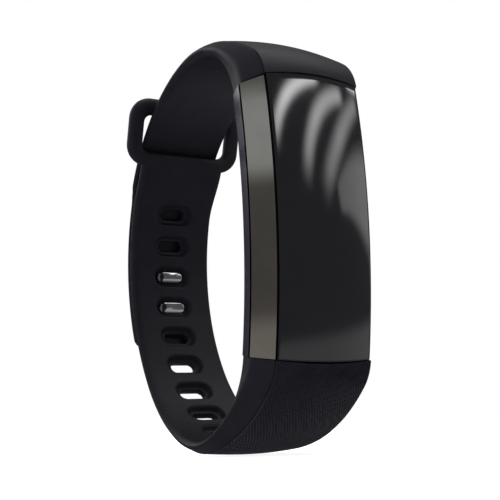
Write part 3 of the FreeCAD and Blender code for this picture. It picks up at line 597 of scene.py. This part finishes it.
def run_in(last, foot, count):
    """Sections on a smooth curve from the wrap's last one to the ring's foot."""
    span = math.dist(last.inner, foot.inner)
    first_way = (-last.outward[1], last.outward[0])
    last_way = (-foot.outward[1], foot.outward[0])
    found = []
    for index in range(1, count + 1):
        t = index / count
        section = last.between(foot, t)
        weights = (2 * t ** 3 - 3 * t ** 2 + 1, t ** 3 - 2 * t ** 2 + t,
                   -2 * t ** 3 + 3 * t ** 2, t ** 3 - t ** 2)
        slopes = (6 * t ** 2 - 6 * t, 3 * t ** 2 - 4 * t + 1, -6 * t ** 2 + 6 * t, 3 * t ** 2 - 2 * t)
        point, way = [], []
        for axis in (0, 1):
            parts = (last.inner[axis], first_way[axis] * span, foot.inner[axis], last_way[axis] * span)
            point.append(sum(w * p for w, p in zip(weights, parts)))
            way.append(sum(w * p for w, p in zip(slopes, parts)))
        length = math.hypot(*way)
        section.inner = tuple(point)
        section.outward = (way[1] / length, -way[0] / length)
        found.append(section)
    return found


def make_hole_strap(material):
    """The lower strap from the case to the ring, in one piece with the ring, with its slots cut."""
    samples = int((WRAP_END - math.degrees(HEADING_START)) / SAMPLE_DEGREES) + 1
    dense = [lower_section(HEADING_START + math.radians(k * SAMPLE_DEGREES)) for k in range(samples)]
    dense += run_in(dense[-1], ring_foot(), 60)
    strap = loft("hole_strap_body", evenly(dense), LOWER_RIB_DEPTH, -GLASS_BOW)
    face_outward(strap)
    boolean(strap, ring_mesh(), "UNION")
    boolean(strap, slot_cutters(), "DIFFERENCE")
    shade(strap, STRAP_SMOOTH)
    strap.data.materials.clear()
    strap.data.materials.append(material)
    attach(strap, "band")
    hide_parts("hole_strap")


def upper_samples():
    """Close sections of the upper strap from the case to the tail's rounded tip."""
    split = math.pi - HINGE_ANGLE
    count = int((split - HEADING_START) / math.radians(SAMPLE_DEGREES))
    dense = [upper_section(mixed(HEADING_START, split, k / count)) for k in range(count + 1)]
    for k in range(HINGE_FIRST, TAIL_SAMPLES + 1):
        part = k / TAIL_SAMPLES
        corner = max(0.0, (part - TAIL_ROUND_FROM) / (1 - TAIL_ROUND_FROM))
        shrink = TAIL_ROUND * (1 - math.sqrt(max(0.0, 1 - corner ** 2.4)))
        dense.append(tail_section(mixed(HINGE_ANGLE, TAIL_TIP, part), shrink))
    before = count - HINGE_BLEND // 2
    strap_side, tail_side = dense[before], dense[before + HINGE_BLEND]
    for k in range(1, HINGE_BLEND):
        kept = dense[before + k]
        blend = strap_side.between(tail_side, smooth(k / HINGE_BLEND))
        kept.field, kept.widest, kept.wrist = blend.field, blend.widest, blend.wrist
        kept.ridge, kept.crown = blend.ridge, blend.crown
    return dense


def make_stud_strap(material):
    """The stud strap and its free tail are one moulding, which bends beside the ring."""
    strap = loft("stud_strap_body", evenly(upper_samples()), UPPER_RIB_DEPTH, GLASS_BOW)
    face_outward(strap)
    shade(strap, STRAP_SMOOTH)
    strap.data.materials.append(material)
    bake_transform(strap)
    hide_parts("stud_strap", "strap_tail")


# ---------------------------------------------------------------- module pieces

def bowed(x, depth, angle):
    """A point of the module: depth below the glass edge, turned about the bow axis."""
    radius = BOW_RADIUS - depth
    return (x, BOW_Y - radius * math.cos(angle), radius * math.sin(angle))


def glass_profile():
    """The glass's section as (x, depth): crowned front, rounded long edges, flat back."""
    front_columns, round_steps = 48, 6
    radius = 0.10
    sink = 0.05
    half = GLASS_HALF - radius
    front = []
    for index in range(front_columns + 1):
        x = half * (2 * index / front_columns - 1)
        front.append((x, sink - GLASS_CROWN * (1 - (x / GLASS_HALF) ** 2)))
    edge = []
    for index in range(1, round_steps + 1):
        angle = math.pi / 2 * index / round_steps
        edge.append((half + radius * math.sin(angle), sink + radius * (1 - math.cos(angle))))
    edge.append((GLASS_HALF, GLASS_EDGE))
    return front + edge + [(-x, depth) for x, depth in reversed(edge)]


def make_glass(material, edge_ink_and_shade_material):
    """Cover glass with a crowned front, softened edges, bowed ends and sides blackened with the matt seal
    material: black edge ink, and painted shade for the dark gap between glass and trim.
    """
    rows = 96
    end_round = 0.012           # share of the half length that is eased down at each end
    end_inset = 0.04
    profile = glass_profile()
    verts = []
    for row in range(rows + 1):
        part = 2 * row / rows - 1
        ends = max(0.0, (abs(part) - (1 - end_round)) / end_round)
        for x, depth in profile:
            end = GLASS_END + GLASS_BOW * (1 - (x / GLASS_HALF) ** 2)
            angle = math.asin(end * part / (BOW_RADIUS - depth))
            inset = end_inset * ends ** 2 if depth < 0.3 else 0.0
            verts.append(bowed(x, depth + inset, angle))
    columns = len(profile)
    faces = grid_faces(rows + 1, columns)
    faces.append(tuple(range(columns)))
    faces.append(tuple(reversed(range(rows * columns, (rows + 1) * columns))))
    glass = new_piece("cover_glass", verts, faces)
    face_outward(glass)
    shade(glass, 35)
    glass.data.materials.append(material)
    glass.data.materials.append(edge_ink_and_shade_material)
    # the side faces are black: edge ink, and painted shade for the dark gap beside the trim
    for polygon in glass.data.polygons:
        if abs(polygon.normal.x) > 0.9:
            polygon.material_index = 1
    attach(glass, "band")
    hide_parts("display_glass")


def tilted(place, tilt):
    """The same placing, with a stud's head tipped so that its face looks a little downward."""
    def put(x, run, rise):
        share = smooth((STUD_HEAD - rise) / 0.4)
        return place(x, run, rise + share * (tilt * run + STUD_SINK))

    return put


def make_studs(material):
    """Two polished studs: a neck from the tail through the slot, and a bevelled head in the recess."""
    foot = STRAP_BACK + TAIL_GAP
    levels = [(2.15, 1.35, foot + 0.3), (2.15, 1.35, 1.02), (2.80, 2.20, 0.98), (2.90, 2.32, 0.90),
              (2.90, 2.32, 0.62), (2.82, 2.16, 0.50), (2.52, 1.80, 0.34), (2.46, 1.72, 0.32)]
    for index, (heading, tilt) in enumerate(zip(slot_headings()[STUD_SLOTS], STUD_TILTS), start=1):
        verts, faces = stacked(levels, tilted(slot_place(heading), tilt), STUD_END_FACETS)
        stud = new_piece(f"clasp_stud_{index}", verts, faces)
        face_outward(stud)
        shade(stud, 25)
        stud.data.materials.append(material)
        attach(stud, "tail")
    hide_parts("clasp_studs")


# ---------------------------------------------------------------- materials

def new_material(name):
    """A node material, with its nodes, links and shader."""
    material = bpy.data.materials.new(name)
    material.use_nodes = True
    nodes = material.node_tree.nodes
    return material, nodes, material.node_tree.links, nodes["Principled BSDF"]


def grain(nodes, links, shader, scale, strength, distance, roughness_span):
    """Fine noise bump in object space, and a little variation of the roughness."""
    place = nodes.new("ShaderNodeTexCoord")
    noise = nodes.new("ShaderNodeTexNoise")
    noise.inputs["Scale"].default_value = scale
    noise.inputs["Detail"].default_value = 3.0
    links.new(place.outputs["Object"], noise.inputs["Vector"])
    bump = nodes.new("ShaderNodeBump")
    bump.inputs["Strength"].default_value = strength
    bump.inputs["Distance"].default_value = distance
    links.new(noise.outputs["Fac"], bump.inputs["Height"])
    links.new(bump.outputs["Normal"], shader.inputs["Normal"])
    span = nodes.new("ShaderNodeMapRange")
    span.inputs["To Min"].default_value, span.inputs["To Max"].default_value = roughness_span
    links.new(noise.outputs["Fac"], span.inputs["Value"])
    links.new(span.outputs["Result"], shader.inputs["Roughness"])
    return place


def tinted(nodes, links, shader, place, scale, dark, light):
    """Slow colour variation between two tones."""
    noise = nodes.new("ShaderNodeTexNoise")
    noise.inputs["Scale"].default_value = scale
    noise.inputs["Detail"].default_value = 4.0
    links.new(place.outputs["Object"], noise.inputs["Vector"])
    ramp = nodes.new("ShaderNodeValToRGB")
    ramp.color_ramp.elements[0].position, ramp.color_ramp.elements[0].color = 0.3, (*dark, 1)
    ramp.color_ramp.elements[1].position, ramp.color_ramp.elements[1].color = 0.7, (*light, 1)
    links.new(noise.outputs["Fac"], ramp.inputs["Fac"])
    links.new(ramp.outputs["Color"], shader.inputs["Base Color"])


def rubber_material():
    """Matt black elastomer with a fine moulded grain."""
    material, nodes, links, shader = new_material("strap_elastomer")
    shader.inputs["Specular IOR Level"].default_value = 0.14
    place = grain(nodes, links, shader, 5200.0, 0.35, 0.00003, (0.46, 0.58))
    tinted(nodes, links, shader, place, 260.0, (0.0060, 0.0054, 0.0086), (0.0080, 0.0073, 0.0112))
    return material


def glass_material():
    """Black-backed cover glass."""
    material, nodes, links, shader = new_material("black_cover_glass")
    shader.inputs["IOR"].default_value = 1.52
    shader.inputs["Coat Weight"].default_value = 0.35
    shader.inputs["Coat Roughness"].default_value = 0.04
    place = grain(nodes, links, shader, 900.0, 0.02, 0.00001, (0.06, 0.09))
    tinted(nodes, links, shader, place, 120.0, (0.0035, 0.0034, 0.0042), (0.0050, 0.0048, 0.0058))
    return material


def metal_material(name, dark, light, roughness, stretch=(1, 1, 0.02), scale=6000.0, strength=0.12):
    """Metal with a fine drawn grain along one direction."""
    material, nodes, links, shader = new_material(name)
    shader.inputs["Metallic"].default_value = 1.0
    place = nodes.new("ShaderNodeTexCoord")
    mapping = nodes.new("ShaderNodeMapping")
    mapping.inputs["Scale"].default_value = stretch
    links.new(place.outputs["Object"], mapping.inputs["Vector"])
    noise = nodes.new("ShaderNodeTexNoise")
    noise.inputs["Scale"].default_value = scale
    noise.inputs["Detail"].default_value = 2.0
    links.new(mapping.outputs["Vector"], noise.inputs["Vector"])
    bump = nodes.new("ShaderNodeBump")
    bump.inputs["Strength"].default_value = strength
    bump.inputs["Distance"].default_value = 0.00001
    links.new(noise.outputs["Fac"], bump.inputs["Height"])
    links.new(bump.outputs["Normal"], shader.inputs["Normal"])
    span = nodes.new("ShaderNodeMapRange")
    span.inputs["To Min"].default_value = roughness * 0.85
    span.inputs["To Max"].default_value = roughness * 1.15
    links.new(noise.outputs["Fac"], span.inputs["Value"])
    links.new(span.outputs["Result"], shader.inputs["Roughness"])
    tinted(nodes, links, shader, place, 220.0, dark, light)
    return material


def plastic_material(name, dark, light, roughness, scale=3000.0, strength=0.15):
    """Moulded plastic, board or resin between two tones, with a fine grain."""
    material, nodes, links, shader = new_material(name)
    place = grain(nodes, links, shader, scale, strength, 0.00002, (roughness * 0.9, roughness * 1.1))
    tinted(nodes, links, shader, place, 200.0, dark, light)
    return material


def paint_shade_on_front_faces(material):
    """Paints faces that look forward near black and without gloss, such as the housing's groove wall: painted
    shade for the groove, which lies in shadow.
    """
    nodes, links = material.node_tree.nodes, material.node_tree.links
    shader = nodes["Principled BSDF"]
    place = nodes.new("ShaderNodeTexCoord")
    parts = nodes.new("ShaderNodeSeparateXYZ")
    links.new(place.outputs["Normal"], parts.inputs["Vector"])
    share = nodes.new("ShaderNodeMapRange")
    share.inputs["From Min"].default_value, share.inputs["From Max"].default_value = -0.85, -0.60
    links.new(parts.outputs["Y"], share.inputs["Value"])
    gloss = nodes.new("ShaderNodeMath")
    gloss.operation = "MULTIPLY"
    gloss.inputs[1].default_value = 0.5
    links.new(share.outputs["Result"], gloss.inputs[0])
    links.new(gloss.outputs["Value"], shader.inputs["Specular IOR Level"])
    mix = nodes.new("ShaderNodeMix")
    mix.data_type = "RGBA"
    black, tone = (socket for socket in mix.inputs if socket.type == "RGBA")
    # near black painted onto forward faces: painted shade for the shadowed groove wall
    black.default_value = (0.0005, 0.0005, 0.0005, 1)
    links.new(shader.inputs["Base Color"].links[0].from_socket, tone)
    links.new(share.outputs["Result"], mix.inputs["Factor"])
    mixed_tone = next(socket for socket in mix.outputs if socket.type == "RGBA")
    links.new(mixed_tone, shader.inputs["Base Color"])


RUBBER = rubber_material()
GLASS = glass_material()
CHROME = metal_material("stud_chrome", (0.40, 0.40, 0.41), (0.47, 0.47, 0.48), 0.06, (1, 1, 1), 2500.0, 0.03)
TRIM = metal_material("gunmetal_trim", (0.275, 0.258, 0.214), (0.305, 0.286, 0.238), 0.08)
STEEL = metal_material("stamped_steel", (0.42, 0.42, 0.43), (0.52, 0.52, 0.53), 0.28, (1, 1, 0.1))
GOLD = metal_material("gold_flash", (0.75, 0.56, 0.24), (0.84, 0.66, 0.32), 0.2, (1, 1, 1))
SCREW = metal_material("dark_screw_steel", (0.20, 0.20, 0.21), (0.26, 0.26, 0.27), 0.35, (1, 1, 1))
WEIGHT = metal_material("sintered_weight", (0.30, 0.30, 0.31), (0.38, 0.38, 0.40),
                        0.45, (1, 1, 1), 3000.0, 0.4)
FOIL = metal_material("cell_foil", (0.55, 0.56, 0.58), (0.66, 0.67, 0.69), 0.4, (1, 1, 1), 1500.0, 0.5)
HOUSING = plastic_material("housing_plastic", (0.018, 0.014, 0.024), (0.025, 0.020, 0.033),
                           0.20, 2500.0, 0.05)
# the housing's forward faces, the groove wall among them, are painted near black as painted shade
paint_shade_on_front_faces(HOUSING)
COVER = plastic_material("back_cover_plastic", (0.011, 0.011, 0.013), (0.016, 0.016, 0.019), 0.5, 4000.0, 0.4)
WINDOW = plastic_material("sensor_window", (0.006, 0.006, 0.007), (0.009, 0.009, 0.010), 0.08, 1500.0, 0.02)
# this material also paints the glass's side faces black, as edge ink and as painted shade for the gap beside
# the trim
SEAL_AND_EDGE_SHADE = plastic_material("seal_rubber", (0.0006, 0.0006, 0.0006), (0.0010, 0.0010, 0.0010), 0.7)
SEAL_AND_EDGE_SHADE.node_tree.nodes["Principled BSDF"].inputs["Specular IOR Level"].default_value = 0.02
BOARD = plastic_material("board_green", (0.010, 0.055, 0.030), (0.016, 0.080, 0.045), 0.35)
CHIP = plastic_material("chip_moulding", (0.018, 0.018, 0.018), (0.028, 0.028, 0.028), 0.5)
CERAMIC = plastic_material("pale_ceramic", (0.60, 0.58, 0.53), (0.72, 0.70, 0.65), 0.45)
FILM = plastic_material("amber_film", (0.38, 0.19, 0.05), (0.48, 0.26, 0.08), 0.25)
LENS = plastic_material("clear_resin", (0.16, 0.45, 0.20), (0.22, 0.56, 0.26), 0.12)

SLOT_MATERIALS = {
    "seal_rubber": SEAL_AND_EDGE_SHADE, "trim_metal": TRIM, "housing_plastic": HOUSING, "display_panel": WINDOW,
    "contact_gold": GOLD, "flex_film": FILM, "board": BOARD, "shield_steel": STEEL, "chip": CHIP,
    "ceramic": CERAMIC, "battery_foil": FOIL, "led_lens": LENS, "sensor_glass": WINDOW,
    "cover_plastic": COVER, "window_plastic": WINDOW, "magnet": CHROME, "weight_metal": WEIGHT,
    "screw_steel": SCREW,
}


def dress_cad_nodes():
    """Gives every CAD node that still shows the material of its slot."""
    for entry in frame["record"]["subparts"]:
        material = SLOT_MATERIALS.get(entry["material_slot"])
        obj = frame["nodes"][entry["node"]]
        if material:
            obj.data.materials.clear()
            obj.data.materials.append(material)


# ---------------------------------------------------------------- stage

def make_floor():
    """A plain pale floor that glows a little, so that it stays nearly white."""
    mesh = bpy.data.meshes.new("floor")
    low = CAD_BOX[0].z - 0.0002
    half = FLOOR_HALF
    mesh.from_pydata([(-half, -half, low), (half, -half, low), (half, half, low), (-half, half, low)], [],
                     [(0, 1, 2, 3)])
    floor = bpy.data.objects.new("floor", mesh)
    bpy.context.scene.collection.objects.link(floor)
    material, _nodes, _links, shader = new_material("studio_floor")
    shader.inputs["Roughness"].default_value = 0.9
    shader.inputs["Base Color"].default_value = (0.80, 0.80, 0.80, 1)
    shader.inputs["Specular IOR Level"].default_value = 0.1
    shader.inputs["Emission Color"].default_value = (1, 1, 1, 1)
    shader.inputs["Emission Strength"].default_value = FLOOR_GLOW
    floor.data.materials.append(material)
    floor.visible_glossy = False


def direction(azimuth, elevation):
    """Unit vector at an azimuth from -Y towards +X and an elevation, in degrees."""
    az, el = math.radians(azimuth), math.radians(elevation)
    return Vector((math.sin(az) * math.cos(el), -math.cos(az) * math.cos(el), math.sin(el)))


def soft_lamp(name, curve, half_width, glow, colour=(1, 1, 1), flat=0.0):
    """A curved strip lamp far away, seen only in gloss, that fades to nothing at its edges and ends.

    curve is three (azimuth, elevation) control points; half_width is in degrees at start and end; glow
    is the radiance at start, middle and end; flat is the share of the width that stays at full glow.
    """
    rows, columns = 40, 12
    verts, levels = [], []
    for row in range(rows + 1):
        t = row / rows
        weights = ((1 - t) ** 2, 2 * t * (1 - t), t * t)
        slopes = (t - 1, 1 - 2 * t, t)
        point = [sum(w * p[axis] for w, p in zip(weights, curve)) for axis in (0, 1)]
        way = [sum(w * p[axis] for w, p in zip(slopes, curve)) for axis in (0, 1)]
        stretch = math.cos(math.radians(point[1]))
        way[0] *= stretch
        length = math.hypot(*way)
        level = mixed(glow[0], glow[1], t * 2) if t < 0.5 else mixed(glow[1], glow[2], t * 2 - 1)
        end_fade = smooth(t / 0.08) * smooth((1 - t) / 0.25)
        half = mixed(half_width[0], half_width[1], t)
        for column in range(columns + 1):
            across = 2 * column / columns - 1
            azimuth = point[0] - way[1] / length * across * half / stretch
            elevation = point[1] + way[0] / length * across * half
            verts.append(direction(azimuth, elevation) * LAMP_DISTANCE)
            levels.append(level * end_fade * smooth((1 - abs(across)) / (1 - flat)))
    mesh = bpy.data.meshes.new(name)
    mesh.from_pydata(verts, [], grid_faces(rows + 1, columns + 1, closed_columns=False))
    glow_layer = mesh.color_attributes.new("glow", "FLOAT_COLOR", "POINT")
    for item, level in zip(glow_layer.data, levels):
        item.color = (*(c * level for c in colour), 1)
    lamp = bpy.data.objects.new(name, mesh)
    bpy.context.scene.collection.objects.link(lamp)
    material = bpy.data.materials.new(name)
    material.use_nodes = True
    nodes, links = material.node_tree.nodes, material.node_tree.links
    nodes.clear()
    output = nodes.new("ShaderNodeOutputMaterial")
    emission = nodes.new("ShaderNodeEmission")
    transparent = nodes.new("ShaderNodeBsdfTransparent")
    both = nodes.new("ShaderNodeAddShader")
    layer = nodes.new("ShaderNodeVertexColor")
    layer.layer_name = "glow"
    links.new(layer.outputs["Color"], emission.inputs["Color"])
    links.new(emission.outputs["Emission"], both.inputs[0])
    links.new(transparent.outputs["BSDF"], both.inputs[1])
    links.new(both.outputs["Shader"], output.inputs["Surface"])
    mesh.materials.append(material)
    lamp.visible_camera = False
    lamp.visible_diffuse = False
    lamp.visible_shadow = False


def area_light(name, place, size, power):
    """A rectangular soft box aimed at the origin; place and size in metres, power in watts."""
    data = bpy.data.lights.new(name, "AREA")
    data.shape = "RECTANGLE"
    data.size, data.size_y = size
    data.energy = power
    lamp = bpy.data.objects.new(name, data)
    bpy.context.scene.collection.objects.link(lamp)
    lamp.location = place
    lamp.rotation_mode = "QUATERNION"
    lamp.rotation_quaternion = (-Vector(place)).to_track_quat("-Z", "Y")
    return lamp


def make_world():
    """White behind the object, dim all round it, so that dark parts stay dark."""
    world = bpy.data.worlds.new("studio")
    bpy.context.scene.world = world
    world.use_nodes = True
    nodes, links = world.node_tree.nodes, world.node_tree.links
    nodes.clear()
    output = nodes.new("ShaderNodeOutputWorld")
    mix = nodes.new("ShaderNodeMixShader")
    path = nodes.new("ShaderNodeLightPath")
    dim, bright = nodes.new("ShaderNodeBackground"), nodes.new("ShaderNodeBackground")
    dim.inputs["Color"].default_value = (0.95, 0.93, 1.0, 1)
    dim.inputs["Strength"].default_value = SURROUND_GLOW
    bright.inputs["Color"].default_value = (1, 1, 1, 1)
    bright.inputs["Strength"].default_value = 1.0
    links.new(path.outputs["Is Camera Ray"], mix.inputs["Fac"])
    links.new(dim.outputs["Background"], mix.inputs[1])
    links.new(bright.outputs["Background"], mix.inputs[2])
    links.new(mix.outputs["Shader"], output.inputs["Surface"])


def make_camera():
    """A long lens low in front and to the left."""
    forward = Vector((math.sin(CAMERA_YAW) * math.cos(CAMERA_PITCH),
                      math.cos(CAMERA_YAW) * math.cos(CAMERA_PITCH), math.sin(CAMERA_PITCH)))
    level = Vector((math.cos(CAMERA_YAW), -math.sin(CAMERA_YAW), 0))
    rise = level.cross(forward)
    across = level * math.cos(CAMERA_ROLL) + rise * math.sin(CAMERA_ROLL)
    upward = -level * math.sin(CAMERA_ROLL) + rise * math.cos(CAMERA_ROLL)
    data = bpy.data.cameras.new("camera")
    data.sensor_width = CAMERA_SENSOR
    data.lens = CAMERA_LENS
    data.clip_start, data.clip_end = 0.01, 20.0
    camera = bpy.data.objects.new("camera", data)
    bpy.context.scene.collection.objects.link(camera)
    turn = Matrix((across, upward, -forward)).transposed()
    camera.matrix_world = Matrix.Translation(CAMERA_PLACE * MM) @ turn.to_4x4()
    bpy.context.scene.camera = camera


def front_lamps():
    """Strip lamps in front, up and to the right, whose reflections curve over the bowed glass."""
    soft_lamp("strip_lamp_1", [(44, 31.9), (13, 34.3), (9.5, 20)], (1.9, 3.2), (8.0, 9.5, 3.0))
    soft_lamp("strip_lamp_2", [(58, 27.6), (31, 31.0), (24, 14.0)], (2.0, 4.3), (4.0, 5.0, 2.3))
    soft_lamp("strip_lamp_3", [(67, 25.6), (49, 25), (33, 12.5)], (2.2, 4.6), (1.8, 2.8, 1.7))
    soft_lamp("broad_lamp", [(43, 12.5), (57, 17.5), (77, 7.0)], (2.4, 12.5), (1.1, 1.4, 1.4), flat=0.5)
    soft_lamp("corner_lamp", [(62, 29), (67, 28), (72, 26)], (1.2, 1.2), (5.0, 7.0, 5.0))
    soft_lamp("low_lamp", [(-20, -17), (40, -16.5), (85, -3)], (6.0, 6.0), (0.4, 0.4, 0.6), flat=0.6)
    soft_lamp("under_lamp", [(95, -50), (125, -52), (155, -48)], (13.0, 13.0), (1.4, 1.4, 1.4), flat=0.3)


def side_lamps():
    """Level bands to the left, which the trim mirrors one above the other."""
    bands = [("side_lamp", 19.6, 5.6, 0.55, (0.90, 1.0, 1.15), 0.62),
             ("side_lamp_high", 29.6, 3.2, 0.60, (0.86, 0.98, 1.22), 0.75),
             ("side_lamp_low", -6, 6.0, 0.25, (1, 1, 1), 0.7)]
    for name, elevation, half, glow, colour, flat in bands:
        curve = [(azimuth, elevation) for azimuth in (-70, -103, -136)]
        soft_lamp(name, curve, (half, half), (glow, glow, glow), colour, flat)


def make_lights():
    """Three soft boxes that look at the middle of the band."""
    area_light("top_box", (0.1, -0.1, 0.75), (0.9, 0.9), 6.4)
    left = area_light("left_box", (-0.75, -0.15, 0.25), (0.5, 0.7), 3.0)
    left.visible_glossy = False
    area_light("back_box", (-0.25, 0.8, 0.45), (0.7, 0.5), 2.0)


make_hole_strap(RUBBER)
make_stud_strap(RUBBER)
make_glass(GLASS, SEAL_AND_EDGE_SHADE)
make_studs(CHROME)
dress_cad_nodes()
make_floor()
make_world()
front_lamps()
side_lamps()
make_lights()
make_camera()
bpy.context.scene.view_settings.view_transform = "Standard"
